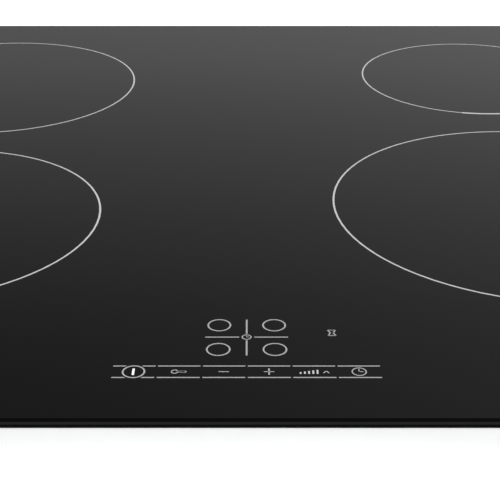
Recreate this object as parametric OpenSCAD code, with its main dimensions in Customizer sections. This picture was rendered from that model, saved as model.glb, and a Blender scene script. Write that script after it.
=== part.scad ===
// Built-in induction hob with four round cooking zones and touch controls.
// Origin: centre of the underside of the housing. +X right, +Y to the rear, +Z up.

/* [Glass panel] */
// Width of the glass, left to right
glass_w = 592; // [590:1:600]
// Depth of the glass, front to rear
glass_d = 522; // [520:1:530]
// Thickness of the glass
glass_t = 4; // [3.8:0.1:4.5]
// Radius of the glass corners
glass_corner = 5; // [3:0.5:8]
// Ground chamfer round the top edge of the glass
glass_chamfer = 0.8; // [0.4:0.1:1.2]
// Ground chamfer round the bottom edge of the glass
glass_arris = 0.4; // [0.2:0.1:0.8]
// Height of the hob from its base to the top of the glass
overall_h = 51; // [51:0.5:56]

/* [Cooking zones] */
// Diameter of the two zones on the left
left_zone_d = 180; // [170:1:185]
// Diameter of the front right zone
front_right_zone_d = 210; // [200:1:214]
// Diameter of the rear right zone
rear_right_zone_d = 145; // [140:1:160]
// Gap from the side of the glass to the outermost zone of a column
zone_side_gap = 41; // [40:1:44]
// Gap from the front of the glass to the front zones
zone_front_gap = 89; // [86:1:92]
// Distance from a front zone's centre to the rear zone's centre
zone_pitch = 208; // [204:1:212]
// Width of the printed zone line
ring_line = 1; // [0.6:0.1:1.6]
// Width of the heavy mark at the front of the rear right zone
heavy_line = 2; // [1.8:0.1:3]
// Angle that the heavy mark covers
heavy_arc = 27; // [10:1:40]
// Thickness of the fired enamel
print_t = 0.1; // [0.05:0.01:0.2]

/* [Control panel print] */
// Width of one touch key
key_w = 17.1; // [16:0.1:17.5]
// Gap between two touch keys
key_gap = 1; // [0.6:0.1:1.6]
// Depth of the key row, between its two printed lines
key_d = 8.5; // [8:0.1:9]
// Distance from the front of the glass to the middle of the key row
key_row_y = 33.3; // [32:0.1:36]
// Distance from the front of the glass to the middle of the selector cross
cross_y = 60.3; // [58:0.1:62]
// Width of the printed control lines
key_line = 0.7; // [0.5:0.1:0.9]
// Diameter of a zone selector circle
selector_d = 9.5; // [9:0.1:10]
// Half the distance between selectors, side to side
selector_x = 11.7; // [11:0.1:12.5]
// Half the distance between selectors, front to rear
selector_y = 9.9; // [9.5:0.1:10.5]
// Length of the cross from its middle to its side ends
cross_arm_x = 17.4; // [16:0.1:18]
// Length of the cross from its middle to its front and rear ends
cross_arm_y = 14.6; // [14:0.1:16]
// Diameter of the on-off circle
power_d = 8.7; // [8:0.1:8.8]

/* [Worktop fit] */
// Width of the band of glass that rests on the worktop round the cut-out
glass_overlap = 16; // [15:0.5:17]
// Thickness of the foam seal under the glass
seal_t = 2; // [1.9:0.1:2.5]
// Width of the foam seal
seal_w = 7; // [6:0.5:7]
// Gap from the edge of the glass to the foam seal
seal_inset = 3; // [2.5:0.1:3.2]

/* [Housing] */
// Thickness of the housing's steel sheet
sheet_t = 0.8; // [0.6:0.1:1]
// Gap between the housing and the side of the cut-out
side_play = 4; // [3:0.5:5]
// Gap between the housing and the front of the cut-out
front_play = 2; // [1.5:0.5:3]
// Gap between the housing and the rear of the cut-out
rear_play = 5; // [4.8:0.1:6]
// Radius of the housing's upright corners
housing_corner = 8; // [6:0.5:10]
// Width of the flange round the top of the housing
flange_w = 6; // [5:0.5:6.5]
// Depth of the shallow front shelf under the controls
shelf_d = 29; // [26:1:30]
// Height of the shelf's underside above the base
shelf_z = 36; // [35:0.5:36.5]
// Width of the stiffening beads pressed into the base
bead_w = 10; // [8:0.5:12]
// Depth of the stiffening beads
bead_h = 1.2; // [0.8:0.1:1.6]
// Run of the sloped front wall, from the shelf to the base
slope_run = 20; // [16:1:22]
// Thickness of the silicone that bonds the glass to the flange
bond_t = 1; // [0.9:0.1:1.4]

/* [Induction coils] */
// Diameter of the litz wire
litz_d = 3; // [2.8:0.1:3.1]
// Radial pitch of the turns
turn_pitch = 3.2; // [3.15:0.01:3.3]
// Radius of the first turn
first_turn_r = 23; // [22:0.5:25]
// Turns of the two left coils
left_turns = 17; // [12:1:18]
// Turns of the front right coil
front_right_turns = 22; // [16:1:22]
// Turns of the rear right coil
rear_right_turns = 12; // [9:1:13]
// Width of a ferrite bar
ferrite_w = 12; // [10:0.5:12.5]
// Thickness of a ferrite bar
ferrite_t = 5; // [4:0.5:5]
// Thickness of the insulation between coil and glass
insulation_t = 0.6; // [0.4:0.1:0.8]
// Height of the springs under a coil carrier
spring_h = 9; // [8.5:0.1:9.5]
// Thickness of the spring strip
spring_t = 0.6; // [0.4:0.1:0.8]
// Width of the spring strip
spring_w = 9; // [8:0.5:10]
// Span of a spring between its two feet
spring_span = 28; // [24:1:32]
// Travel of a coil carrier against its springs
coil_travel = 3; // [2:0.5:3]

/* [Power electronics] */
// Length of a heat sink
heatsink_l = 150; // [120:5:160]
// Height of a heat sink
heatsink_h = 20; // [16:0.5:20.5]
// Number of fins on a heat sink
fin_count = 11; // [7:1:13]
// Diameter of a fan wheel
fan_d = 72; // [68:1:74]
// Height of a fan wheel
fan_h = 18; // [15:0.5:18]
// Blades on a fan wheel
fan_blades = 30; // [20:1:34]

/* [Terminals and clamps] */
// Number of mains terminals
terminal_count = 6; // [4:1:6]
// Diameter of the cable hole in the grommet
cable_hole_d = 13; // [11:0.5:14]
// Length of a clamp arm from its pivot
clamp_arm = 38; // [32:1:40]
// Diameter of the clamp screws
clamp_screw_d = 4; // [3.5:0.1:4.2]

/* [Hidden] */
$fn = 64;
e = 0.01;

// Zones, in the order front left, rear left, front right, rear right
FL = 0;
RL = 1;
FR = 2;
RR = 3;
ZONES = [FL, RL, FR, RR];
zone_d = [left_zone_d, left_zone_d, front_right_zone_d, rear_right_zone_d];
column_x = [-glass_w / 2 + zone_side_gap + left_zone_d / 2,
    glass_w / 2 - zone_side_gap - front_right_zone_d / 2];
front_row_y = [for (d = [left_zone_d, front_right_zone_d]) -glass_d / 2 + zone_front_gap + d / 2];
zone_at = [[column_x[0], front_row_y[0]], [column_x[0], front_row_y[0] + zone_pitch],
    [column_x[1], front_row_y[1]], [column_x[1], front_row_y[1] + zone_pitch]];
coil_turns = [left_turns, left_turns, front_right_turns, rear_right_turns];
ferrite_count = [8, 8, 8, 6];

// Heights, from the glass down to the base
z_glass = overall_h - glass_t;
z_flange = z_glass - bond_t;
z_insulation = z_glass - insulation_t;
coil_gap = 0.3;
z_wire = z_insulation - coil_gap - litz_d / 2;
z_carrier_top = z_wire - litz_d / 2 - 0.05;
carrier_t = 2;
z_carrier = z_carrier_top - carrier_t;
z_ferrite = z_carrier - ferrite_t;
lug_t = 4;
z_lug = z_carrier_top - lug_t;
z_plate_top = z_lug - spring_h;
plate_t = 1;
z_plate = z_plate_top - plate_t;
standoff_h = 4.2;
z_board = sheet_t + standoff_h;
board_t = 1.6;
z_board_top = z_board + board_t;

// Housing outline, from the worktop cut-out that the hob drops into
cutout_w = glass_w - 2 * glass_overlap;
cutout_d = glass_d - 2 * glass_overlap;
tray_w = cutout_w - 2 * side_play;
tray_front = -cutout_d / 2 + front_play;
tray_rear = cutout_d / 2 - rear_play;
shelf_rear = tray_front + shelf_d;
slope_foot = shelf_rear + slope_run;
slope_l = sqrt(slope_run * slope_run + shelf_z * shelf_z);
slope_inset = sheet_t * (slope_l - slope_run) / shelf_z;
slope_angle = atan(slope_run / shelf_z);

// Coil carriers
rim_t = 1.6;
carrier_margin = 2.5;
lug_r = 6;
guide_r = 2;
guide_hole_r = 2.25;
sensor_r = 6;
hub_t = 2;
lug_angles = [90, 210, 330];
ferrite_start = first_turn_r + litz_d / 2 + 2.5;
function last_turn_r(i) = first_turn_r + coil_turns[i] * turn_pitch;
function carrier_r(i) = last_turn_r(i) + litz_d / 2 + carrier_margin;
function lug_at_r(i) = carrier_r(i) + lug_r - 2;

// Power modules: the left one, then the right one
board_w = 150;
board_front = tray_front + 63;
board_rear = tray_rear - 128;
board_x = [column_x[0], column_x[1] + 15];
heatsink_w = 60;
duct_w = 52;
blower_x = [board_x[0] + 25, board_x[1] + 25];
blower_y = tray_rear - 62;
blower_wall = 1.5;
scroll_step = 4;
scroll_r = fan_d / 2 + 5;
blower_h = z_plate - sheet_t - 1.5;
fan_clear_z = 3;
z_fan = sheet_t + blower_wall + fan_clear_z;
heatsink_rear = board_rear - 4;

module rounded_outline(w, d, r) {
    square([w - 2 * r, d], center = true);
    square([w, d - 2 * r], center = true);
    for (x = [-1, 1], y = [-1, 1])
        translate([x * (w / 2 - r), y * (d / 2 - r)]) circle(r);
}

module rounded_block(w, d, h, r) {
    linear_extrude(h) rounded_outline(w, d, r);
}

module tube(r_out, r_in, h) {
    difference() {
        cylinder(r = r_out, h = h);
        translate([0, 0, -1]) cylinder(r = r_in, h = h + 2);
    }
}

// A flat plate with both edges chamfered all the way round
module chamfered_plate(w, d, t, r, top, bottom) {
    module profile(half)
        polygon([[-half + bottom, 0], [half - bottom, 0], [half, bottom], [half, t - top],
            [half - top, t], [-half + top, t], [-half, t - top], [-half, bottom]]);
    rotate([90, 0, 90]) translate([0, 0, -w / 2 + r]) linear_extrude(w - 2 * r) profile(d / 2);
    rotate([90, 0, 0]) translate([0, 0, -d / 2 + r]) linear_extrude(d - 2 * r) profile(w / 2);
    for (x = [-1, 1], y = [-1, 1])
        translate([x * (w / 2 - r), y * (d / 2 - r), 0])
            rotate_extrude()
                polygon([[0, 0], [r - bottom, 0], [r, bottom], [r, t - top], [r - top, t], [0, t]]);
}

module glass_panel() {
    color("#0b0b0d")
        difference() {
            translate([0, 0, z_glass])
                chamfered_plate(glass_w, glass_d, glass_t, glass_corner, glass_chamfer, glass_arris);
            zone_lines(1);
            control_lines(1);
        }
}

// Part of a flat ring, centred on the -Y direction
module front_arc(r, line, angle, h) {
    rotate([0, 0, -90 - angle / 2])
        rotate_extrude(angle = angle) translate([r - line / 2, 0]) square([line, h]);
}

// The enamel lies level with the glass, in a recess of its own shape
module zone_lines(h) {
    for (i = ZONES)
        translate([zone_at[i][0], zone_at[i][1], overall_h - print_t])
            union() {
                tube(zone_d[i] / 2 + ring_line / 2, zone_d[i] / 2 - ring_line / 2, h);
                if (i == RR) front_arc(zone_d[i] / 2, heavy_line, heavy_arc, h);
            }
}

module zone_print() {
    color("#c9c9c9") zone_lines(print_t);
}

module bar(x1, x2, y1, y2, h) {
    translate([min(x1, x2), min(y1, y2), 0]) cube([abs(x2 - x1), abs(y2 - y1), h]);
}

module control_print() {
    color("#c9c9c9") control_lines(print_t);
}

module control_lines(h) {
    row_l = 6 * key_w + 5 * key_gap;
    power_x = -row_l / 2 + key_w / 2;
    gap_r = power_d / 2 + 1.6 * key_line;
    translate([0, -glass_d / 2, overall_h - print_t]) {
        // the key row: a line before and behind each key, broken round the on-off circle
        difference() {
            for (k = [0:5], side = [-1, 1])
                translate([-row_l / 2 + k * (key_w + key_gap), key_row_y + side * key_d / 2, 0])
                    bar(0, key_w, -key_line / 2, key_line / 2, h);
            translate([power_x, key_row_y, -1]) cylinder(r = gap_r, h = 3);
        }
        translate([power_x, key_row_y, 0])
            tube(power_d / 2 + key_line / 2, power_d / 2 - key_line / 2, h);
        // the cross and the four zone selectors
        translate([0, cross_y, 0]) {
            for (s = [-1, 1]) {
                bar(s * 3.2, s * cross_arm_x, -key_line / 2, key_line / 2, h);
                bar(-key_line / 2, key_line / 2, s * 2.7, s * cross_arm_y, h);
            }
            for (x = [-1, 1], y = [-1, 1])
                translate([x * selector_x, y * selector_y, 0])
                    tube(selector_d / 2 + key_line / 2, selector_d / 2 - key_line / 2, h);
        }
    }
}

// A rectangular ring that lies under the glass
module frame_ring(w, d, r, line, t) {
    difference() {
        rounded_block(w, d, t, r);
        translate([0, 0, -1]) rounded_block(w - 2 * line, d - 2 * line, t + 2, r);
    }
}

module worktop_seal() {
    color("#2b2b2b")
        translate([0, 0, z_glass - seal_t])
            frame_ring(glass_w - 2 * seal_inset, glass_d - 2 * seal_inset, glass_corner, seal_w, seal_t);
}

module glass_bond() {
    bond_w = 4;
    color("#1c1c1c")
        translate([0, (tray_front + tray_rear) / 2, z_flange])
            frame_ring(tray_w + 2 * flange_w - 2, tray_rear - tray_front + 2 * flange_w - 2,
                housing_corner, bond_w, bond_t);
}

module insulation_discs() {
    color("#d9d4c4")
        for (i = ZONES)
            translate([zone_at[i][0], zone_at[i][1], z_insulation])
                tube(carrier_r(i) + 1, sensor_r + 2, insulation_t);
}

// A slot with round ends, cut along Z through a wall that lies in the XZ plane
module slot_cut(w, l, depth) {
    cube([w, depth, l - w], center = true);
    for (z = [-1, 1])
        translate([0, 0, z * (l - w) / 2]) rotate([90, 0, 0]) cylinder(r = w / 2, h = depth, center = true);
}

// The housing's side profile, drawn as [y, z]
module tray_profile(front, rear, bottom, top, shelf, inset)
    polygon([[front, top], [front, shelf], [shelf_rear + inset, shelf], [slope_foot + inset, bottom],
        [rear, bottom], [rear, top]]);

module along_x(l) {
    rotate([90, 0, 90]) translate([0, 0, -l / 2]) linear_extrude(l) children();
}

tray_mid_y = (tray_front + tray_rear) / 2;
tray_d = tray_rear - tray_front;
clamp_y = [tray_front + 118, tray_rear - 90];
clamp_w = 20;
clamp_window = [clamp_w + 4, 36];
clamp_pin_r = 1.5;
clamp_pin = [tray_w / 2 - 7.5, 7];
clamp_sides = [-1, 1];
box_x = 20;
box_front = tray_rear - 48;
window_x = [box_x - 18, box_x + 40];
box_wall = 2;
box_top = z_plate - 1;
window_z = [8, box_top - box_wall];
hinge_y = tray_rear + 2.3;
hinge_z = 38;
hinge_r = 2.1;
hinge_pin_r = 1;
grommet_x = box_x - 34;
grommet_z = 14.5;
grommet_r = cable_hole_d / 2 + 2.4;
board_hole_in = 6;
board_gap = 15;
filter_w = board_x[1] - board_x[0] - board_w - 2 * board_gap;
filter_front = tray_front + 163;
filter_rear = tray_rear - 64;
filter_x = (board_x[0] + board_x[1]) / 2 - 5;
leg_y = [[clamp_y[0] + 30, clamp_y[1] - 30], [clamp_y[1] + 28, tray_rear - 15]];
side_screw_y = [clamp_y[0] + 65, clamp_y[1] - 120, tray_rear - 35];
side_screw_z = 23;

// Places of the board screws: both power boards, then the filter board
board_spots = [for (b = [[board_x[0], board_w, board_front, board_rear],
        [board_x[1], board_w, board_front, board_rear], [filter_x, filter_w, filter_front, filter_rear]])
    for (x = [-1, 1], y = [b[2] + board_hole_in, b[3] - board_hole_in])
        [b[0] + x * (b[1] / 2 - board_hole_in), y]];

// Stiffening beads under the three boards, as [x, first y, last y]
bead_in = 25;
beads = [for (b = [[board_x[0], board_front, board_rear], [board_x[1], board_front, board_rear],
        [filter_x, filter_front, filter_rear]])
    for (k = [-1.5:1.5])
        [b[0] + k * 34, b[1] + bead_in, b[2] - bead_in]];

// A long bead with round ends, along Y
module bead(at, w, h) {
    translate([at[0] - w / 2, at[1], 0]) cube([w, at[2] - at[1], h]);
    for (y = [at[1], at[2]]) translate([at[0], y, 0]) cylinder(r = w / 2, h = h);
}

module fan_intake(r, depth) {
    for (k = [-3:3])
        translate([0, k * 7, 0])
            cube([2 * sqrt(r * r - 49 * k * k) - 2, 4, depth], center = true);
}

module housing_tray() {
    color("#b9bcc0") {
        difference() {
            union() {
                difference() {
                    intersection() {
                        along_x(tray_w)
                            tray_profile(tray_front, tray_rear, 0, z_flange, shelf_z, 0);
                        translate([0, tray_mid_y, -1])
                            rounded_block(tray_w, tray_d, z_flange + 2, housing_corner);
                    }
                    intersection() {
                        along_x(tray_w - 2 * sheet_t)
                            tray_profile(tray_front + sheet_t, tray_rear - sheet_t, sheet_t,
                                z_flange + 1, shelf_z + sheet_t, slope_inset);
                        translate([0, tray_mid_y, -2])
                            rounded_block(tray_w - 2 * sheet_t, tray_d - 2 * sheet_t, z_flange + 5,
                                housing_corner - sheet_t);
                    }
                }
                // the flange that the glass is bonded to
                translate([0, tray_mid_y, z_flange - sheet_t])
                    difference() {
                        rounded_block(tray_w + 2 * flange_w, tray_d + 2 * flange_w, sheet_t,
                            housing_corner + flange_w);
                        translate([0, 0, -1])
                            rounded_block(tray_w - sheet_t, tray_d - sheet_t, sheet_t + 2, housing_corner);
                    }
                // standoffs under the circuit boards
                for (p = board_spots)
                    translate([p[0], p[1], sheet_t - 0.2]) cylinder(r = 3.2, h = standoff_h + 0.2);
                // the inner side of the beads
                for (b = beads) bead(b, bead_w + 2 * sheet_t, sheet_t + bead_h);
                // ears that carry the clamp pins
                for (s = clamp_sides, y = clamp_y, side = [-1, 1])
                    translate([s * (clamp_pin[0] + 1.5), y + side * (clamp_window[0] / 2 + 1), clamp_pin[1]])
                        cube([12.4, 2, 8], center = true);
                // hinge knuckles of the terminal flap
                for (x = [window_x[0] + 2, window_x[1] - 2]) {
                    translate([x, hinge_y, hinge_z])
                        rotate([0, 90, 0]) cylinder(r = hinge_r, h = 10, center = true);
                    translate([x, hinge_y - 1.2, hinge_z]) cube([10, 2.4, 3], center = true);
                }
            }
            // outlet louvres in the sloped front wall
            for (s = [-1, 1], k = [0:14])
                translate([s * (104 + 9 * k), (shelf_rear + slope_foot) / 2, shelf_z / 2])
                    rotate([slope_angle, 0, 0]) slot_cut(4.4, 24, 6);
            // the outer side of the beads
            for (b = beads) translate([0, 0, -1]) bead(b, bead_w, bead_h + 1);
            // fan intakes in the base
            for (x = blower_x)
                translate([x, blower_y, 0]) fan_intake(fan_d / 2 - 7, 4);
            // windows for the clamp levers
            for (s = clamp_sides, y = clamp_y)
                translate([s * tray_w / 2, y, 4 + clamp_window[1] / 2])
                    cube([6, clamp_window[0], clamp_window[1]], center = true);
            for (s = clamp_sides, y = clamp_y)
                translate([s * clamp_pin[0], y, clamp_pin[1]])
                    rotate([90, 0, 0]) cylinder(r = clamp_pin_r, h = clamp_window[0] + 10, center = true);
            // the terminal window, the cable hole and the hinge bore
            translate([window_x[0], tray_rear - 3, window_z[0]])
                cube([window_x[1] - window_x[0], 6, window_z[1] - window_z[0]]);
            translate([grommet_x, tray_rear, grommet_z])
                rotate([90, 0, 0]) cylinder(r = grommet_r, h = 6, center = true);
            translate([box_x, hinge_y, hinge_z])
                rotate([0, 90, 0]) cylinder(r = hinge_pin_r, h = 100, center = true);
            // screw holes
            for (p = board_spots)
                translate([p[0], p[1], 2]) cylinder(r = 1.3, h = standoff_h);
            for (s = [-1, 1], y = side_screw_y)
                translate([s * tray_w / 2, y, side_screw_z])
                    rotate([0, 90, 0]) cylinder(r = 1.6, h = 6, center = true);
        }
    }
}

module coil_support_plate() {
    edge = 0.4;
    leg_t = 1.2;
    half_w = tray_w / 2 - sheet_t - edge;
    front = slope_foot - 8;
    rear = tray_rear - sheet_t - 0.4;
    color("#c8cbd0")
        difference() {
            union() {
                intersection() {
                    translate([-half_w, front, z_plate]) cube([2 * half_w, rear - front, plate_t]);
                    translate([0, tray_mid_y, z_plate - 1])
                        rounded_block(2 * half_w, 2 * (rear - tray_mid_y), plate_t + 2, housing_corner - sheet_t);
                }
                // legs folded down to the base, one each side between the clamps
                for (s = [-1, 1], y = leg_y)
                    translate([s * (half_w - leg_t / 2) - leg_t / 2, y[0], sheet_t])
                        cube([leg_t, y[1] - y[0], z_plate - sheet_t + 0.1]);
                // the stiffening upstand along the front
                translate([-half_w, front, z_plate]) cube([2 * half_w, leg_t, 6]);
                for (i = ZONES, a = lug_angles)
                    translate([zone_at[i][0] + lug_at_r(i) * cos(a), zone_at[i][1] + lug_at_r(i) * sin(a),
                        z_plate]) cylinder(r = guide_r, h = z_carrier_top + 2 - z_plate);
            }
            for (i = ZONES)
                translate([zone_at[i][0], zone_at[i][1], z_plate - 1]) cylinder(r = 17, h = plate_t + 2);
            for (s = clamp_sides, y = clamp_y)
                translate([s * (half_w - 8), y, z_plate + 1]) cube([24, clamp_w + 14, 20], center = true);
            // air slots beside the coils
            for (x = [-40:16:40], y = [tray_front + 123, tray_mid_y + 41.5, tray_rear - 80])
                translate([x, y, z_plate - 1]) rotate([90, 0, 0])
                    translate([0, 0, 0]) slot_cut(7, 44, 20);
            for (s = [-1, 1], y = side_screw_y)
                translate([s * half_w, y, side_screw_z])
                    rotate([0, 90, 0]) cylinder(r = 1.6, h = 6, center = true);
        }
}

// A half ring of round wire on the +Y side of its centre
module half_ring(r, wire) {
    rotate_extrude(angle = 180) translate([r, 0]) circle(d = wire);
}

// A flat spiral: each half turn is a true half ring, and the centres alternate, so that
// the wire runs on smoothly from one half turn to the next
module spiral(r0, pitch, turns, wire) {
    for (k = [0:2 * turns - 1])
        if (k % 2 == 0)
            half_ring(r0 + k * pitch / 2, wire);
        else
            translate([pitch / 2, 0, 0]) rotate([0, 0, 180]) half_ring(r0 + k * pitch / 2, wire);
}

module winding(i) {
    end_r = first_turn_r + coil_turns[i] * turn_pitch;
    color("#b5713a")
        translate([zone_at[i][0], zone_at[i][1], z_wire])
            union() {
                spiral(first_turn_r, turn_pitch, coil_turns[i], litz_d);
                // the inner end turns down through the carrier
                translate([first_turn_r, 0, -5])
                    rotate([0, -90, 180]) rotate_extrude(angle = 90) translate([5, 0]) circle(d = litz_d);
                // the outer end runs straight on to its terminal
                translate([end_r, 0, 0]) rotate([-90, 0, 0]) cylinder(d = litz_d, h = 14);
            }
}

module carrier(i) {
    r = carrier_r(i);
    hub_r = first_turn_r - litz_d / 2 - 0.6;
    n = ferrite_count[i];
    color("#e6e3da")
        translate([zone_at[i][0], zone_at[i][1], 0])
            difference() {
                union() {
                    translate([0, 0, z_carrier]) cylinder(r = r, h = carrier_t);
                    translate([0, 0, z_carrier]) tube(r, r - rim_t, z_wire - z_carrier);
                    translate([0, 0, z_carrier]) tube(hub_r, hub_r - hub_t, z_wire - z_carrier);
                    translate([0, 0, z_ferrite + 1]) tube(sensor_r + 2, sensor_r, z_carrier_top - z_ferrite - 1);
                    for (a = lug_angles)
                        rotate([0, 0, a]) {
                            translate([lug_at_r(i), 0, z_lug]) cylinder(r = lug_r, h = lug_t);
                            translate([r - rim_t, -lug_r, z_lug]) cube([lug_at_r(i) - r + rim_t, 2 * lug_r, lug_t]);
                        }
                    for (k = [0:n - 1], s = [-1, 1])
                        rotate([0, 0, (k + 0.5) * 360 / n])
                            translate([ferrite_start, s * (ferrite_w / 2 + 0.6) - 0.5, z_ferrite + 2])
                                cube([last_turn_r(i) - ferrite_start, 1, ferrite_t - 2 + 0.1]);
                }
                translate([0, 0, z_ferrite]) cylinder(r = sensor_r, h = 20);
                for (a = lug_angles)
                    rotate([0, 0, a]) translate([lug_at_r(i), 0, z_lug - 1])
                        cylinder(r = guide_hole_r, h = lug_t + 2);
                // the slot for the inner end of the winding
                translate([first_turn_r, -5, z_carrier - 1]) cylinder(r = litz_d / 2 + 0.6, h = carrier_t + 2);
                translate([first_turn_r, -2.5, z_carrier_top - 1]) cube([litz_d + 1.2, 5, 3], center = true);
                // the gap in the rim for the outer end
                translate([last_turn_r(i) - 3, 2, z_carrier_top - 0.3])
                    cube([r - last_turn_r(i) + 4, 22, 10]);
                // light windows between the ferrites
                for (k = [0:n - 1])
                    rotate([0, 0, k * 360 / n])
                        translate([(hub_r + last_turn_r(i)) / 2 + 10, 0, z_carrier - 1])
                            cylinder(r = 6, h = carrier_t + 2);
            }
}

module ferrites(i) {
    n = ferrite_count[i];
    color("#3c3c40")
        translate([zone_at[i][0], zone_at[i][1], z_ferrite])
            for (k = [0:n - 1])
                rotate([0, 0, (k + 0.5) * 360 / n])
                    translate([ferrite_start, -ferrite_w / 2, 0])
                        cube([last_turn_r(i) - ferrite_start, ferrite_w, ferrite_t]);
}

module sensor(i) {
    color("#a33a2c")
        translate([zone_at[i][0], zone_at[i][1], 0])
            rotate_extrude()
                polygon([[0, z_ferrite + 1], [sensor_r - 0.1, z_ferrite + 1], [sensor_r - 0.1, z_carrier_top],
                    [sensor_r + 1, z_carrier_top], [sensor_r + 1, z_carrier_top + 1], [4, z_carrier_top + 1],
                    [4, z_glass - coil_gap], [0, z_glass - coil_gap]]);
}

// A bow spring: an arched steel strip that stands on its two ends round a guide stud
module bow_spring(h, span, w, t) {
    r = (span * span / 4 + h * h) / (2 * h);
    difference() {
        rotate([90, 0, 0]) translate([0, 0, -w / 2]) linear_extrude(w)
            difference() {
                intersection() {
                    translate([0, h - r]) circle(r);
                    translate([-span, 0]) square([2 * span, 2 * h]);
                }
                translate([0, h - r]) circle(r - t);
            }
        translate([0, 0, h / 2]) cylinder(r = guide_r + 0.5, h = h);
    }
}

module springs(i) {
    color("#9fa4a8")
        for (a = lug_angles)
            translate([zone_at[i][0] + lug_at_r(i) * cos(a), zone_at[i][1] + lug_at_r(i) * sin(a),
                z_plate_top + 0.05])
                rotate([0, 0, a + 90]) bow_spring(spring_h - 0.1, spring_span, spring_w, spring_t);
}

function heatsink_x(m) = blower_x[m] - scroll_r - 4 * scroll_step + duct_w / 2;

module power_board(m) {
    color("#1f5c33")
        difference() {
            translate([board_x[m] - board_w / 2, board_front, z_board])
                cube([board_w, board_rear - board_front, board_t]);
            for (x = [-1, 1], y = [board_front + board_hole_in, board_rear - board_hole_in])
                translate([board_x[m] + x * (board_w / 2 - board_hole_in), y, z_board - 1])
                    cylinder(r = 1.6, h = board_t + 2);
        }
}

module heatsink(m) {
    fin_t = 1.4;
    pitch = (heatsink_w - fin_t) / (fin_count - 1);
    color("#b4b8bc")
        translate([heatsink_x(m) - heatsink_w / 2, heatsink_rear - heatsink_l, z_board_top])
            union() {
                cube([heatsink_w, heatsink_l, 4]);
                for (k = [0:fin_count - 1])
                    translate([k * pitch, 0, 0]) cube([fin_t, heatsink_l, heatsink_h]);
            }
}

// A power transistor that stands on three legs, with its back towards -X
module transistor() {
    difference() {
        union() {
            translate([0, -7.5, 2.5]) cube([4.6, 15, 10]);
            translate([0, -7.5, 12.5]) cube([1.8, 15, 4.5]);
        }
        translate([-1, 0, 14.7]) rotate([0, 90, 0]) cylinder(r = 1.6, h = 5);
    }
    for (y = [-5, 0, 5])
        translate([2, y - 0.6, 0]) cube([0.8, 1.2, 2.6]);
}

module transistors(m) {
    color("#1a1a1c")
        for (side = [-1, 1], y = [20, 75, 130])
            translate([heatsink_x(m) + side * heatsink_w / 2, heatsink_rear - heatsink_l + y * heatsink_l / 150,
                z_board_top])
                rotate([0, 0, side > 0 ? 0 : 180]) transistor();
}

module capacitor_box(x, y, w, d, h) {
    translate([x - w / 2, y - d / 2, z_board_top]) cube([w, d, h]);
}

module capacitors(m) {
    x1 = board_x[m] - board_w / 2 + 16;
    x2 = board_x[m] + board_w / 2 - 16;
    color("#e0dfd8")
        for (y = [for (d = [30, 68, 120, 190]) board_front + d]) {
            capacitor_box(x1 + 2, y, 18, 32, 18);
            capacitor_box(x2 - 2, y + 12, 20, 30, 16);
        }
}

module filter_board() {
    color("#1f5c33")
        difference() {
            translate([filter_x - filter_w / 2, filter_front, z_board])
                cube([filter_w, filter_rear - filter_front, board_t]);
            for (x = [-1, 1], y = [filter_front + board_hole_in, filter_rear - board_hole_in])
                translate([filter_x + x * (filter_w / 2 - board_hole_in), y, z_board - 1])
                    cylinder(r = 1.6, h = board_t + 2);
        }
}

// Two ring chokes that lie on the filter board
module filter_choke() {
    color("#b5713a")
        for (x = [-34, 30])
            translate([filter_x + x, filter_rear - 68, z_board_top + 7.5])
                union() {
                    tube(19, 11, 9);
                    for (a = [-70:14:70], s = [0, 180])
                        rotate([0, 0, a + s]) translate([15, 0, 4.5])
                            rotate([90, 0, 0]) difference() {
                                translate([0, 0, -1]) linear_extrude(2) square([12, 13], center = true);
                                translate([0, 0, -2]) linear_extrude(4) square([7.9, 8.9], center = true);
                            }
                    translate([-6, -21, -7.5]) cube([12, 3, 8]);
                    translate([-6, 18, -7.5]) cube([12, 3, 8]);
                }
}

module filter_capacitors() {
    color("#d8c33a")
        for (p = [[-45, 120], [0, 120], [45, 120], [-45, 60], [40, 50]])
            capacitor_box(filter_x + p[0], filter_front + p[1], 32, 19, 17);
}

// The scroll of a blower: four quarter discs whose radii grow by one step each
module scroll(r) {
    s = scroll_step;
    module quarter(k, x, y)
        translate([x, y]) intersection() {
            circle(r + k * s);
            rotate(90 * k) square(r + 4 * s);
        }
    rotate(180) {
        quarter(0, 0, 0);
        quarter(1, 0, -s);
        quarter(2, s, -s);
        quarter(3, s, 0);
        translate([-s, -s]) square(2 * s);
    }
}

module blower_outline(m, inset) {
    duct_end = board_rear + 0.3;
    scroll(scroll_r - inset);
    translate([-scroll_r - 4 * scroll_step + inset, duct_end - blower_y - (inset > 0 ? 1 : 0)])
        square([duct_w - 2 * inset, blower_y - duct_end + (inset > 0 ? 1 : 0)]);
}

module blower_housing(m) {
    color("#2a2b2e")
        translate([blower_x[m], blower_y, z_board_top])
            difference() {
                union() {
                    translate([0, 0, sheet_t - z_board_top]) linear_extrude(blower_h) blower_outline(m, 0);
                }
                translate([0, 0, sheet_t - z_board_top + blower_wall])
                    linear_extrude(blower_h - 2 * blower_wall) blower_outline(m, blower_wall);
                translate([0, 0, sheet_t - z_board_top - 1]) cylinder(r = fan_d / 2 - 6, h = blower_wall + 2);
                for (a = [45:90:315])
                    rotate([0, 0, a]) translate([9, 0, blower_h - z_board_top])
                        cylinder(r = 1.2, h = 8, center = true);
            }
}

z_wheel_top = z_fan + fan_h;
wheel_hub_r = 17;
motor_r = 13.5;
motor_shaft_r = 1.5;
z_motor_top = sheet_t + blower_h - blower_wall;

module fan_motor(m) {
    color("#4a4b50")
        translate([blower_x[m], blower_y, 0])
            union() {
                translate([0, 0, z_fan + 4]) cylinder(r = motor_r, h = z_motor_top - z_fan - 4);
                translate([0, 0, z_fan + 0.6]) cylinder(r = motor_shaft_r, h = 6);
            }
}

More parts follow.
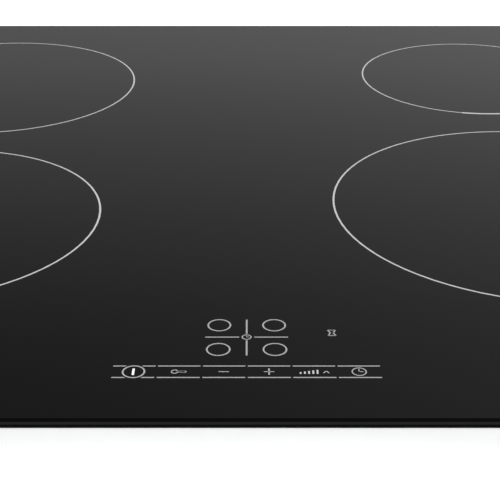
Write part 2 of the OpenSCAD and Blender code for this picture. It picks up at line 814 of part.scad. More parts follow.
module fan_wheel(m) {
    r = fan_d / 2;
    color("#d9dadc")
        translate([blower_x[m], blower_y, z_fan])
            union() {
                tube(wheel_hub_r, motor_shaft_r + 0.05, 2.4);
                tube(wheel_hub_r, wheel_hub_r - 1.6, fan_h);
                translate([0, 0, fan_h - 1.6]) tube(r, wheel_hub_r - 1.6, 1.6);
                tube(r, r - 2, 2);
                for (k = [0:fan_blades - 1])
                    rotate([0, 0, k * 360 / fan_blades])
                        translate([r - 1.1, 0, 0]) rotate([0, 0, 150])
                            translate([0, -0.4, 0]) cube([7.5, 0.9, fan_h - 0.5]);
            }
}

pad_r = 4;
carrier_front = tray_front + sheet_t + 1.2;
carrier_rear_y = tray_front + 62;
panel_z = shelf_z + sheet_t;
z_control = panel_z + 3.5;
control_t = 1.2;

module control_carrier() {
    w = 128;
    d = carrier_rear_y - carrier_front;
    color("#33353a")
        translate([-w / 2, carrier_front, panel_z])
            difference() {
                cube([w, d, 6]);
                translate([1.6, 1.6, 1.6]) cube([w - 3.2, d - 3.2, 6]);
                for (x = [20, 54, 88])
                    translate([x, d - 14, -1]) cube([20, 8, 4]);
            }
    color("#33353a")
        for (x = [-56, 56], y = [carrier_front + 6, carrier_rear_y - 6])
            translate([x, y, panel_z + 1.6]) cylinder(r = 3, h = z_control - panel_z - 1.6);
}

module control_board() {
    color("#1f5c33")
        translate([-61, carrier_front + 2.4, z_control])
            cube([122, carrier_rear_y - carrier_front - 4.8, control_t]);
    color("#222222")
        for (x = [-44, 44])
            translate([x - 6, carrier_rear_y - 29, z_control + control_t]) cube([12, 12, 1.4]);
}

function key_x(k) = -(6 * key_w + 5 * key_gap) / 2 + k * (key_w + key_gap) + key_w / 2;

// Foam pads that carry the touch of a finger from the glass to the board
module touch_pads() {
    z = z_control + control_t;
    color("#3a3a3a") {
        for (k = [0:5])
            translate([key_x(k), -glass_d / 2 + key_row_y, z]) cylinder(r = pad_r, h = z_glass - z);
        for (x = [-1, 1], y = [-1, 1])
            translate([x * selector_x, -glass_d / 2 + cross_y + y * selector_y, z])
                cylinder(r = pad_r, h = z_glass - z);
    }
}

module displays() {
    z = z_control + control_t;
    color("#5a1616")
        for (x = [-30, 22])
            translate([x, -glass_d / 2 + cross_y - 4.5, z]) cube([8, 9, z_glass - z - 0.6]);
}

// An open plastic box behind the terminal window
module terminal_box() {
    w = 100;
    h = box_top - sheet_t;
    d = tray_rear - sheet_t - box_front;
    color("#e9e9e4")
        translate([box_x - 52, box_front, sheet_t])
            difference() {
                cube([w, d, h]);
                translate([box_wall, box_wall, box_wall]) cube([w - 2 * box_wall, d, h - 2 * box_wall]);
                translate([30, 1, h - 9]) rotate([90, 0, 0]) cylinder(r = 4.5, h = 6, center = true);
            }
}

terminal_pitch = 8.6;

module terminal_block() {
    w = terminal_count * terminal_pitch;
    x0 = (window_x[0] + window_x[1]) / 2 - w / 2;
    color("#efeee8")
        translate([x0, tray_rear - 26, sheet_t + box_wall])
            difference() {
                union() {
                    cube([w, 20, 12]);
                    for (k = [0:terminal_count])
                        translate([max(0, k * terminal_pitch - 0.8), 0, 0]) cube([k % terminal_count == 0 ? 0.8 : 1.6, 20, 17]);
                }
                for (k = [0:terminal_count - 1])
                    translate([(k + 0.5) * terminal_pitch, 10, 6]) {
                        rotate([90, 0, 0]) cylinder(r = 2.2, h = 30, center = true);
                        cylinder(r = 2.6, h = 20);
                    }
            }
}

flap_top = hinge_z - hinge_r - 0.5;
flap_mid = (window_x[0] + window_x[1]) / 2;

module terminal_flap() {
    w = window_x[1] - window_x[0] + 8;
    knuckle = window_x[1] - window_x[0] - 4 - 10 - 0.8;
    color("#d4d6d8")
        difference() {
            union() {
                translate([flap_mid - w / 2, tray_rear + 0.4, 4]) cube([w, 1.6, flap_top - 4]);
                translate([flap_mid - knuckle / 2, tray_rear + 0.4, flap_top - 1]) cube([knuckle, 1.6, 3]);
                translate([flap_mid, hinge_y, hinge_z])
                    rotate([0, 90, 0]) cylinder(r = hinge_r, h = knuckle, center = true);
                // stiffening ribs on the outside
                for (k = [-2.5:2.5])
                    translate([flap_mid + k * 10 - 0.6, tray_rear + 1.9, 9]) cube([1.2, 1, flap_top - 13]);
                // the finger lip
                translate([flap_mid - 10, tray_rear + 0.4, 4]) cube([20, 4, 1.6]);
            }
            translate([flap_mid, hinge_y, hinge_z])
                rotate([0, 90, 0]) cylinder(r = hinge_pin_r + 0.05, h = 100, center = true);
        }
}

module flap_hinge_pin() {
    color("#8d9196")
        translate([flap_mid, hinge_y, hinge_z])
            rotate([0, 90, 0])
                cylinder(r = hinge_pin_r, h = window_x[1] - window_x[0] + 6, center = true);
}

module cable_grommet() {
    color("#1b1b1d")
        translate([grommet_x, tray_rear, grommet_z])
            rotate([-90, 0, 0])
                difference() {
                    union() {
                        translate([0, 0, -sheet_t]) cylinder(r = grommet_r, h = sheet_t + 1);
                        cylinder(r = grommet_r + 2.6, h = 2.4);
                        translate([0, 0, -sheet_t - 2]) cylinder(r = grommet_r + 2, h = 2);
                    }
                    translate([0, 0, -8]) cylinder(r = cable_hole_d / 2, h = 20);
                }
}

// A clamp lever: a bent steel strip that turns on a pin and bows out past the housing's side
module clamp(s, y) {
    t = 1.2;
    x0 = clamp_pin[0];
    z0 = clamp_pin[1];
    out = cutout_w / 2 + 3;
    knee = z0 + 0.62 * (clamp_arm - 6);
    tip = z0 + clamp_arm - 6;
    color("#a7abb0")
        translate([0, y, 0]) mirror([s < 0 ? 1 : 0, 0, 0])
            difference() {
                union() {
                    translate([x0, clamp_w / 2, z0]) rotate([90, 0, 0]) cylinder(r = 2.8, h = clamp_w);
                    rotate([90, 0, 0]) translate([0, 0, -clamp_w / 2]) linear_extrude(clamp_w)
                        polygon([[x0, z0 + 2.8], [x0, z0 + 1.6], [x0 + 3.2, z0 - 1.8 + t], [out - 1.2, knee - 2],
                            [out, knee], [out - 1, knee + 2], [x0 + 7.4, tip], [x0 + 6.2, tip - 0.6],
                            [out - t - 0.6, knee], [x0 + 2.4, z0 + 1.4 + t]]);
                }
                translate([x0, 0, z0]) rotate([90, 0, 0])
                    cylinder(r = clamp_pin_r + 0.05, h = 2 * clamp_w, center = true);
            }
}

module clamp_screws() {
    color("#8d9196")
        for (s = clamp_sides, y = clamp_y)
            translate([s * clamp_pin[0], y, clamp_pin[1]]) {
                rotate([90, 0, 0])
                    cylinder(r = clamp_pin_r, h = clamp_window[0] + 6, center = true);
                translate([0, -clamp_window[0] / 2 - 2, 0]) rotate([90, 0, 0]) cylinder(r = 3, h = 2);
            }
}

module screw_head(r, h) {
    cylinder(r = r, h = h);
}

module housing_screws() {
    color("#8d9196") {
        for (p = board_spots)
            translate([p[0], p[1], z_board_top]) {
                cylinder(r = 2.8, h = 1.8);
                translate([0, 0, -board_t - 3]) cylinder(r = 1.3, h = board_t + 3.1);
            }
        for (s = [-1, 1], y = side_screw_y)
            translate([s * tray_w / 2, y, side_screw_z]) rotate([0, s * 90, 0]) {
                cylinder(r = 3, h = 1.8);
                translate([0, 0, -4]) cylinder(r = 1.6, h = 4.1);
            }
    }
}

glass_panel();
zone_print();
control_print();
glass_bond();
worktop_seal();
insulation_discs();
housing_tray();
coil_support_plate();
carrier(FL);  // carrier_front_left
carrier(RL);  // carrier_rear_left
carrier(FR);  // carrier_front_right
carrier(RR);  // carrier_rear_right
winding(FL);  // winding_front_left
winding(RL);  // winding_rear_left
winding(FR);  // winding_front_right
winding(RR);  // winding_rear_right
ferrites(FL);  // ferrites_front_left
ferrites(RL);  // ferrites_rear_left
ferrites(FR);  // ferrites_front_right
ferrites(RR);  // ferrites_rear_right
sensor(FL);  // sensor_front_left
sensor(RL);  // sensor_rear_left
sensor(FR);  // sensor_front_right
sensor(RR);  // sensor_rear_right
springs(FL);  // springs_front_left
springs(RL);  // springs_rear_left
springs(FR);  // springs_front_right
springs(RR);  // springs_rear_right
power_board(0);  // power_board_left
power_board(1);  // power_board_right
heatsink(0);  // heatsink_left
heatsink(1);  // heatsink_right
transistors(0);  // transistors_left
transistors(1);  // transistors_right
capacitors(0);  // capacitors_left
capacitors(1);  // capacitors_right
filter_board();
filter_choke();
filter_capacitors();
blower_housing(0);  // blower_housing_left
blower_housing(1);  // blower_housing_right
fan_motor(0);  // fan_motor_left
fan_motor(1);  // fan_motor_right
fan_wheel(0);  // fan_wheel_left
fan_wheel(1);  // fan_wheel_right
control_carrier();
control_board();
touch_pads();
displays();
terminal_box();
terminal_block();
terminal_flap();
flap_hinge_pin();
cable_grommet();
clamp(-1, clamp_y[0]);  // clamp_front_left
clamp(-1, clamp_y[1]);  // clamp_rear_left
clamp(1, clamp_y[0]);  // clamp_front_right
clamp(1, clamp_y[1]);  // clamp_rear_right
clamp_screws();
housing_screws();
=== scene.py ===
import math

import bpy
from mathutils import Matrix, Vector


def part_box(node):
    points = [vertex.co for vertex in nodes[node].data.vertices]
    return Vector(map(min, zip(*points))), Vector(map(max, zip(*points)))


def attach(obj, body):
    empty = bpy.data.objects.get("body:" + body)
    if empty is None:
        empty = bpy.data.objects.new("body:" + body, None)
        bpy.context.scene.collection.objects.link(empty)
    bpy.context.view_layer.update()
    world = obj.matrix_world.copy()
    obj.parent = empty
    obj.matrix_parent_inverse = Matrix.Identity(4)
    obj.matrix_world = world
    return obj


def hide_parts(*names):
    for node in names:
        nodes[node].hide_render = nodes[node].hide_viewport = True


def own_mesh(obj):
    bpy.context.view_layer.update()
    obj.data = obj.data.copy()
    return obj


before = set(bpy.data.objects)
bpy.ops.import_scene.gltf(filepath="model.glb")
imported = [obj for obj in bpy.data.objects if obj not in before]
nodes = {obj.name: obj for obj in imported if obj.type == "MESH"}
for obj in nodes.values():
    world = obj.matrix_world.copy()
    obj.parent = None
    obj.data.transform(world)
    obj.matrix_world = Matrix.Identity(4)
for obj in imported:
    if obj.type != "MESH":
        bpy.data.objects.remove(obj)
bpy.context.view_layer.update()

# The camera.
# It stands in front of the hob near its centre line, 262 mm above the glass, and looks
# down at it along the depth, as the photograph does.

camera_data = bpy.data.cameras.new("camera")
camera = bpy.data.objects.new("camera", camera_data)
bpy.context.collection.objects.link(camera)
degrees_down = 26.670
camera.location = (0.00081, -0.64000, 0.31260)
camera.rotation_euler = (math.radians(90 - degrees_down), 0, 0)
camera_data.sensor_width = 36
camera_data.lens = 87.386
camera_data.shift_x = 0.00281
camera_data.clip_start = 0.01
bpy.context.scene.camera = camera
bpy.context.scene.view_settings.view_transform = "Standard"


# The studio.
# A white floor under the hob and a white surround, which also lights it evenly. In
# reflections the surround is pale near the horizon and darker overhead. Large soft lamps.

class Value:
    """A number that changes over a surface. Arithmetic on it adds Math nodes to its finish."""

    def __init__(self, finish, socket):
        self.finish, self.socket = finish, socket

    def maths(self, operation, *numbers):
        return self.finish.node("ShaderNodeMath", {"operation": operation}, dict(enumerate(numbers)))

    def __add__(self, other):
        return self.maths("ADD", self, other)

    __radd__ = __add__

    def __sub__(self, other):
        return self.maths("SUBTRACT", self, other)

    def __rsub__(self, other):
        return self.maths("SUBTRACT", other, self)

    def __mul__(self, other):
        return self.maths("MULTIPLY", self, other)

    __rmul__ = __mul__

    def __abs__(self):
        return self.maths("ABSOLUTE", self)

    def sine(self):
        return self.maths("SINE", self)

    def most(self, other):
        return self.maths("MAXIMUM", self, other)

    def step(self, low, high):
        """0 below low, 1 above high, and a soft step between them."""
        return self.finish.node("ShaderNodeMapRange", {"interpolation_type": "SMOOTHSTEP"},
                                {"Value": self, "From Min": low, "From Max": high})


class Nodes:
    """The nodes of one material or world, added one by one."""

    def __init__(self, tree):
        self.tree = tree

    def node(self, kind, settings=None, inputs=None, out=0):
        """Adds a node, sets it up, then gives its sockets their values or links."""
        made = self.tree.nodes.new(kind)
        for name, value in (settings or {}).items():
            if name == "stops":
                ramp = made.color_ramp
                while len(ramp.elements) < len(value):
                    ramp.elements.new(0.5)
                for element, (place, colour) in zip(ramp.elements, value):
                    element.position = place
                    element.color = (*colour, 1) if isinstance(colour, tuple) else (colour,) * 3 + (1,)
            else:
                setattr(made, name, value)
        for name, value in (inputs or {}).items():
            self.feed(made.inputs[name], value)
        return Value(self, made.outputs[out]) if made.outputs else None

    def feed(self, socket, value):
        if isinstance(value, Value):
            self.tree.links.new(value.socket, socket)
        elif isinstance(value, tuple) and len(value) == 3 and socket.type == "RGBA":
            socket.default_value = (*value, 1)
        else:
            socket.default_value = value

    def part(self, vector, axis):
        """The X, Y or Z of a vector."""
        return self.node("ShaderNodeSeparateXYZ", None, {0: vector}, out="XYZ".index(axis))


world = bpy.data.worlds.new("studio")
bpy.context.scene.world = world
world.use_nodes = True
world.node_tree.nodes.clear()
air = Nodes(world.node_tree)
heading = air.node("ShaderNodeTexCoord", out=0)
height_seen = air.part(heading, "Z")
surround_stops = [(0.0, 0.47), (0.306, 0.396), (0.336, 0.352), (0.3665, 0.315), (0.397, 0.283),
                  (0.428, 0.244), (0.457, 0.216), (0.486, 0.184), (0.515, 0.163), (0.563, 0.142),
                  (0.66, 0.09), (0.80, 0.04), (1.0, 0.04)]
lighter_to_right = 0.235
darkest_surround = 0.02
light_from_surround = 0.66
surround = air.node("ShaderNodeValToRGB", {"stops": surround_stops}, {0: height_seen.most(0)})
surround = air.node("ShaderNodeSeparateColor", None, {0: surround})
surround = (surround + air.part(heading, "X") * lighter_to_right).most(darkest_surround)

# White to the camera, even light on matt surfaces, and the surround's greys in reflections.
seen = air.node("ShaderNodeLightPath", out=0)
lighting = air.node("ShaderNodeLightPath", out=2)
strength = seen + lighting * light_from_surround + (1 - seen - lighting).most(0) * surround
backdrop = air.node("ShaderNodeBackground", None, {"Color": (1.0, 1.0, 1.0), "Strength": strength})
air.node("ShaderNodeOutputWorld", None, {"Surface": backdrop})


def deselect():
    """Leaves edit mode, with no object selected."""
    if bpy.context.object and bpy.context.object.mode != "OBJECT":
        bpy.ops.object.mode_set(mode="OBJECT")
    bpy.ops.object.select_all(action="DESELECT")


def settle(obj, name):
    """Names a finished piece and puts its place, turn and size into its mesh."""
    deselect()
    obj.name = obj.data.name = name
    obj.select_set(True)
    bpy.context.view_layer.objects.active = obj
    bpy.ops.object.transform_apply(location=True, rotation=True, scale=True)
    return obj


floor_size = 14
floor_below_hob = 0.0002
floor_shine = 0.60
deselect()
bpy.ops.mesh.primitive_plane_add(size=floor_size, location=(0, 2, -floor_below_hob))
floor = settle(bpy.context.object, "floor")
floor_finish = bpy.data.materials.new("floor_white")
floor_finish.use_nodes = True
floor_finish.node_tree.nodes.clear()
ground = Nodes(floor_finish.node_tree)
ground_seen = ground.node("ShaderNodeLightPath", out=0)
ground_shine = ground.node("ShaderNodeEmission", None,
                           {"Color": (1.0, 1.0, 1.0), "Strength": ground_seen * floor_shine})
ground_paint = ground.node("ShaderNodeBsdfDiffuse", None, {"Color": (0.84, 0.84, 0.84)})
ground_both = ground.node("ShaderNodeAddShader", None, {0: ground_shine, 1: ground_paint})
ground.node("ShaderNodeOutputMaterial", None, {"Surface": ground_both})
floor.data.materials.append(floor_finish)


def lamp(name, place, width, height, watts):
    """A soft rectangular lamp that points at the middle of the hob's base."""
    data = bpy.data.lights.new(name, "AREA")
    data.shape = "RECTANGLE"
    data.size, data.size_y = width, height
    data.energy = watts
    made = bpy.data.objects.new(name, data)
    bpy.context.collection.objects.link(made)
    made.location = place
    made.rotation_euler = made.location.to_track_quat("Z", "Y").to_euler()
    made.visible_glossy = False


lamp("front_lamp", (0.0, -2.6, 1.55), width=2.6, height=1.2, watts=50)
lamp("top_lamp", (0.0, 0.3, 2.6), width=2.0, height=2.0, watts=26)
lamp("rear_left_lamp", (-2.2, 1.9, 1.4), width=1.4, height=1.2, watts=16)


# The glass.
# One sheet of black glass ceramic, 4 mm thick, with a polished top, a finely ground edge and a dimpled
# underside. The edge is darkened and dulled with painted shade, most in bands at its top and bottom and on
# its chamfer. It is bonded to the housing's flange with black silicone.

class Finish(Nodes):
    """A material on Blender's Principled shader. Constants go straight onto its sockets."""

    def __init__(self, slot, **constants):
        self.material = bpy.data.materials.new(slot)
        self.material.use_nodes = True
        super().__init__(self.material.node_tree)
        self.shader = self.tree.nodes["Principled BSDF"]
        self.fill(self.shader, constants)

    def fill(self, shader, constants):
        """Sets sockets by words such as specular_ior_level, which is Specular IOR Level."""
        for word, value in constants.items():
            self.feed(shader.inputs[word.replace("_", " ").title().replace("Ior", "IOR")], value)

    def set(self, name, value):
        self.feed(self.shader.inputs[name], value)

    def place(self, axis=None):
        """Where a point of the piece is, in metres from the middle of the hob's base."""
        spot = self.node("ShaderNodeTexCoord", out=3)
        return self.part(spot, axis) if axis else spot

    def facing(self, axis):
        """How far the surface faces along an axis, from -1 to 1."""
        return self.part(self.node("ShaderNodeNewGeometry", out=1), axis)

    def stretched(self, x, y, z, turn=(0, 0, 0)):
        """The place on a scale that draws a pattern out where it is below 1."""
        return self.node("ShaderNodeMapping", None,
                         {"Vector": self.place(), "Scale": (x, y, z), "Rotation": turn})

    def noise(self, size, detail=3.0, rough=0.5, where=None):
        """Soft noise whose grains are about size metres across."""
        return self.node("ShaderNodeTexNoise", None, {"Vector": where or self.place(), "Scale": 1 / size,
                                                      "Detail": detail, "Roughness": rough})

    def cells(self, size):
        """Cells about size metres apart: 0 at the middle of each, rising to its edge."""
        return self.node("ShaderNodeTexVoronoi", None, {"Vector": self.place(), "Scale": 1 / size})

    def crystals(self, size):
        """Cells about size metres apart, each with a number of its own from 0 to 1."""
        colour = self.node("ShaderNodeTexVoronoi", None, {"Vector": self.place(), "Scale": 1 / size}, out=1)
        return self.node("ShaderNodeSeparateColor", None, {0: colour})

    def grain(self, height, depth, strength=1.0):
        """Relief of the given depth in metres."""
        self.set("Normal", self.node("ShaderNodeBump", None,
                                     {"Height": height, "Distance": depth, "Strength": strength}))

    def tone(self, factor, *colours):
        """A colour that runs through the given ones as factor goes from 0 to 1."""
        stops = [(i / (len(colours) - 1), colour) for i, colour in enumerate(colours)]
        return self.node("ShaderNodeValToRGB", {"stops": stops}, {0: factor})

    def blended(self, factor, **constants):
        """Mixes in a second Principled shader with the given constants, by factor."""
        other = self.tree.nodes.new("ShaderNodeBsdfPrincipled")
        self.fill(other, constants)
        mixed = self.node("ShaderNodeMixShader", None, {0: factor})
        self.tree.links.new(self.shader.outputs[0], mixed.socket.node.inputs[1])
        self.tree.links.new(other.outputs[0], mixed.socket.node.inputs[2])
        self.tree.links.new(mixed.socket, self.tree.nodes["Material Output"].inputs["Surface"])

    def on(self, *names):
        """Puts the finish on the named CAD nodes."""
        for name in names:
            kept = nodes[name].data.materials
            kept.clear()
            kept.append(self.material)
        return self


glass_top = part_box("glass_panel")[1][2]

glass = Finish("black_glass", ior=1.5)
upward = glass.facing("Z")
edge_mask = 1 - abs(upward).step(0.2, 0.95)
under_mask = (0 - upward).step(0.8, 0.95)
film = glass.noise(0.09, 4.0, 0.6)
streaks = glass.noise(0.012, 2.0, where=glass.stretched(0.35, 1, 1))
glass.set("Base Color", glass.tone(edge_mask, (0.0030, 0.0030, 0.0034), (0.0045, 0.0048, 0.0050)))
glass.set("Roughness", 0.018 + 0.022 * film * streaks + 0.16 * edge_mask + 0.25 * under_mask)
dimples = glass.cells(0.0021)
ground_grain = glass.noise(0.0006) * 0.12
glass.grain(dimples * under_mask + ground_grain * edge_mask, 0.00012, 0.6)
# The whole edge takes 70 % of a dark shader without shine, for its ground finish and for painted shade.
# Bands at its top and bottom and the top chamfer take that shader fully: painted shade, standing in for the
# shaded floor that they reflect.
bevel_mask = upward.step(0.3, 0.5) * (1 - upward.step(0.9, 0.97))
height_on_edge = glass.place("Z")
lower_shade_band = 1 - height_on_edge.step(glass_top - 0.0027, glass_top - 0.0021)
upper_shade_band = height_on_edge.step(glass_top - 0.0014, glass_top - 0.0009)
ground_edge_and_painted_shade = (edge_mask * (0.70 + 0.30 * (lower_shade_band + upper_shade_band))).most(bevel_mask)
glass.blended(ground_edge_and_painted_shade, base_color=(0.0028, 0.0028, 0.0030), roughness=0.42, specular_ior_level=0.0)
glass.on("glass_panel")


# The enamel.
# Pale grey ceramic ink, screen printed and fired into the glass: four zone rings, the
# frames of the touch keys, the cross and the selector circles. Dry, dense and matt.

def fired_ink(name, thin, full):
    """Ceramic ink, a little thinner or fuller where the screen laid it. Fine lines come out dimmer."""
    fired = Finish(name, specular_ior_level=0.2)
    ink = fired.noise(0.0004, 2.0)
    fired.set("Base Color", fired.tone(ink, (thin, thin, thin * 0.99), (full, full, full * 0.99)))
    fired.set("Roughness", 0.42 + 0.2 * fired.noise(0.002))
    fired.grain(ink, 0.00001)
    return fired


ring_ink = fired_ink("white_enamel", 0.41, 0.53).on("zone_print")
fine_ink = fired_ink("fine_enamel", 0.29, 0.39).on("control_print")
bright_ink = fired_ink("bright_enamel", 0.80, 0.90)


# The printed signs.
# The small marks at the keys and circles, in the same ink. Each is drawn flat on the glass
# with strokes and rings, in millimetres from the hob's middle, and raised by the ink's thickness.

mm = 0.001
ink_thickness = 0.03 * mm


def open_mesh():
    bpy.ops.object.mode_set(mode="EDIT")


def close_mesh():
    bpy.ops.object.mode_set(mode="OBJECT")
    return bpy.context.object


def ring(x, y, radius, line):
    """A round line about a point."""
    deselect()
    bpy.ops.mesh.primitive_circle_add(vertices=40, radius=(radius + line / 2) * mm, fill_type="NGON",
                                      location=(x * mm, y * mm, glass_top))
    open_mesh()
    bpy.ops.mesh.select_all(action="SELECT")
    bpy.ops.mesh.inset(thickness=line * mm, use_even_offset=True)
    bpy.ops.mesh.delete(type="FACE")
    return close_mesh()


def stroke(x1, y1, x2, y2, line):
    """A straight line from one point to another, with rounded corners."""
    deselect()
    length = math.hypot(x2 - x1, y2 - y1) + line
    middle = ((x1 + x2) / 2 * mm, (y1 + y2) / 2 * mm, glass_top)
    bpy.ops.mesh.primitive_plane_add(size=mm, location=middle,
                                     rotation=(0, 0, math.atan2(y2 - y1, x2 - x1)))
    made = bpy.context.object
    made.scale = (length, line, 1)
    deselect()
    made.select_set(True)
    bpy.ops.object.transform_apply(location=False, rotation=False, scale=True)
    open_mesh()
    bpy.ops.mesh.select_all(action="SELECT")
    bpy.ops.mesh.bevel(affect="VERTICES", offset=0.3 * line * mm, segments=3)
    return close_mesh()


def clock(x, y, radius, hand_up, hand_across, hand_line):
    """A round face with one hand up and one to the right."""
    return [ring(x, y, radius, 0.5), stroke(x, y, x, y + hand_up, hand_line),
            stroke(x, y, x + hand_across, y, hand_line)]


def sign(name, *strokes, ink=fine_ink):
    """Joins the strokes of one sign, raises them off the glass and fixes them to it."""
    deselect()
    for one in strokes:
        one.select_set(True)
    bpy.context.view_layer.objects.active = strokes[0]
    if len(strokes) > 1:
        bpy.ops.object.join()
    made = bpy.context.object
    raised = made.modifiers.new("ink", "SOLIDIFY")
    raised.thickness = ink_thickness
    raised.offset = 1
    bpy.ops.object.modifier_apply(modifier="ink")
    settle(made, name)
    made.data.materials.clear()
    made.data.materials.append(ink.material)
    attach(made, "hob")


key_row = -227.7

power_x = -45.35
sign("power_sign", stroke(power_x, key_row + 1.85, power_x, key_row - 2, 0.95), ink=bright_ink)

bow_x = -28.8
shaft_y = key_row - 0.05
key_bow = ring(bow_x, key_row, 1.25, 0.5)
key_shaft = stroke(bow_x + 1.3, shaft_y, bow_x + 3.9, shaft_y, 0.85)
key_bits = [stroke(x - 0.15, shaft_y, x + 0.15, shaft_y, 1.35) for x in (bow_x + 2.7, bow_x + 3.9)]
sign("lock_sign", key_bow, key_shaft, *key_bits)

sign("less_sign", stroke(-11.0, key_row, -7.3, key_row, 0.5))

plus_across = stroke(7.1, key_row, 10.9, key_row, 0.45)
plus_upright = stroke(9.0, key_row + 2.1, 9.0, key_row - 2, 0.65)
sign("more_sign", plus_across, plus_upright)

bars_from, bar_pitch, bar_rise = 21.6, 1.7, 0.42
bars_x = [bars_from + bar_pitch * i for i in range(5)]
level_bars = [stroke(x, key_row - 1.3, x, key_row - 0.7 + bar_rise * i, 0.75)
              for i, x in enumerate(bars_x)]
peak_x = 31.9
level_peak = [stroke(peak_x - 1, key_row - 0.9, peak_x, key_row + 0.5, 0.4),
              stroke(peak_x, key_row + 0.5, peak_x + 1, key_row - 0.9, 0.4)]
sign("power_level_sign", *level_bars, *level_peak, ink=ring_ink)

sign("timer_sign", *clock(45.1, key_row, 2.8, hand_up=2.0, hand_across=1.5, hand_line=0.42))
cross_middle_y = -200.7
sign("zone_timer_sign", *clock(0, cross_middle_y, 1.85, hand_up=1.0, hand_across=0.8, hand_line=0.35))

hourglass_x, waist_y = 35.95, -197.2
hourglass_sides = [stroke(hourglass_x + side * 1.5, waist_y + end, hourglass_x + side * 0.6, waist_y, 0.62)
                   for side in (-1, 1) for end in (1.9, -2.1)]
hourglass_top = stroke(hourglass_x - 1.25, waist_y + 2.25, hourglass_x + 1.25, waist_y + 2.25, 0.3)
hourglass_foot = stroke(hourglass_x - 1.45, waist_y - 2.3, hourglass_x + 1.55, waist_y - 2.3, 0.45)
sign("short_timer_sign", *hourglass_sides, hourglass_top, hourglass_foot)


# The seals.
# Black silicone bonds the glass to the flange. A closed-cell foam strip, cut from sheet,
# lies on the worktop and keeps liquid out.

silicone = Finish("black_silicone", base_color=(0.018, 0.018, 0.019))
silicone.set("Roughness", 0.45 + 0.25 * silicone.noise(0.004))
silicone.grain(silicone.noise(0.0015, 4.0), 0.0001)
silicone.on("glass_bond")

foam = Finish("seal_foam", specular_ior_level=0.2)
pores = foam.cells(0.0006)
foam.set("Base Color", foam.tone(pores * 1.4, (0.016, 0.016, 0.017), (0.045, 0.045, 0.047)))
foam.set("Roughness", 0.85 + 0.1 * foam.noise(0.003))
foam.grain(pores, 0.0002)
foam.on("worktop_seal")


# The housing.
# One folded and drawn sheet of galvanised steel, with louvres in its sloped front, fan
# intakes in the base and standoffs for the boards. The zinc shows its spangle.

zinc = Finish("zinc_steel", metallic=1.0)
spangle = zinc.crystals(0.0065)
cloud = zinc.noise(0.05, 4.0, 0.6)
rolled = zinc.noise(0.0009, 2.0, where=zinc.stretched(0.04, 1, 1))
zinc.set("Base Color", zinc.tone(spangle * 0.55 + cloud * 0.45, (0.40, 0.41, 0.42), (0.62, 0.63, 0.64)))
zinc.set("Roughness", 0.34 + 0.14 * spangle + 0.1 * rolled)
zinc.grain(spangle * 0.5 + rolled * 0.5, 0.00002)
zinc.on("housing_tray")


# The coil plate.
# A sheet of rolled aluminium on folded legs. It screens the electronics from the coils
# and carries the guide studs that the coils slide on.

def drawn_aluminium(slot, dark, light, rough, scale, nodes_dressed):
    """Aluminium with the fine lines of its rolling or extrusion, drawn out on the given scale."""
    metal = Finish(slot, metallic=1.0)
    lines = metal.noise(0.0006, 3.0, where=metal.stretched(*scale))
    smear = metal.noise(0.04, 3.0)
    metal.set("Base Color", metal.tone(lines * 0.6 + smear * 0.4, dark, light))
    metal.set("Roughness", rough + 0.14 * lines)
    metal.grain(lines, 0.00002)
    metal.on(*nodes_dressed)


drawn_aluminium("sheet_aluminium", (0.62, 0.63, 0.65), (0.84, 0.85, 0.86), 0.26, (0.02, 1, 1),
                ["coil_support_plate"])


# The coils.
# Each is a spiral of litz wire, bunched from fine enamelled copper strands, laid on a
# heat-resistant carrier over ferrite bars, with a sensor in silicone at its middle and mica on top.

zones = ["front_left", "rear_left", "front_right", "rear_right"]


def each_zone(kind):
    """The names of the four CAD nodes of a kind."""
    return [kind + "_" + zone for zone in zones]


litz = Finish("litz_copper", metallic=0.75)
strand_twist = litz.noise(0.0007, 2.0, where=litz.stretched(1, 1, 2.5, (0, 0, 0.6)))
strands = litz.cells(0.00055)
litz.set("Base Color", litz.tone(strand_twist * 0.6 + strands * 0.4,
                                 (0.24, 0.085, 0.03), (0.66, 0.32, 0.14)))
litz.set("Roughness", 0.28 + 0.22 * strands)
litz.grain(strands * 0.7 + strand_twist * 0.3, 0.00015)
litz.on(*each_zone("winding"))


def moulded(slot, dark, light, rough, nodes_dressed, texture=0.0005, depth=0.00003):
    """Moulded plastic: an etched grain, faint flow marks and slightly uneven gloss."""
    plastic = Finish(slot)
    etched = plastic.noise(texture, 2.0)
    flow = plastic.noise(0.03, 3.0, 0.55)
    plastic.set("Base Color", plastic.tone(flow * 0.7 + etched * 0.3, dark, light))
    plastic.set("Roughness", rough + 0.16 * etched + 0.06 * flow)
    plastic.grain(etched, depth)
    plastic.on(*nodes_dressed)


moulded("coil_carrier_plastic", (0.66, 0.62, 0.54), (0.80, 0.77, 0.70), 0.42, each_zone("carrier"))

ferrite = Finish("ferrite")
sinter = ferrite.noise(0.0005, 5.0, 0.7)
ferrite.set("Base Color", ferrite.tone(sinter, (0.018, 0.018, 0.020), (0.085, 0.085, 0.092)))
ferrite.set("Roughness", 0.5 + 0.3 * sinter)
ferrite.grain(sinter, 0.00006)
ferrite.on(*each_zone("ferrites"))

moulded("sensor_silicone", (0.36, 0.07, 0.045), (0.56, 0.13, 0.08), 0.4, each_zone("sensor"), 0.001)

mica = Finish("mica")
flakes = mica.crystals(0.0028)
mica.set("Base Color", mica.tone(flakes, (0.50, 0.45, 0.33), (0.72, 0.68, 0.56), (0.82, 0.79, 0.70)))
mica.set("Roughness", 0.3 + 0.3 * flakes)
mica.grain(flakes, 0.00004)
mica.on("insulation_discs")


# The springs and the clamps.
# Strips of sprung steel, bent, hardened and lightly oiled. Bow springs lift each coil against
# the glass and flatten when it is pressed down. Clamps at the sides hold the hob in the worktop.

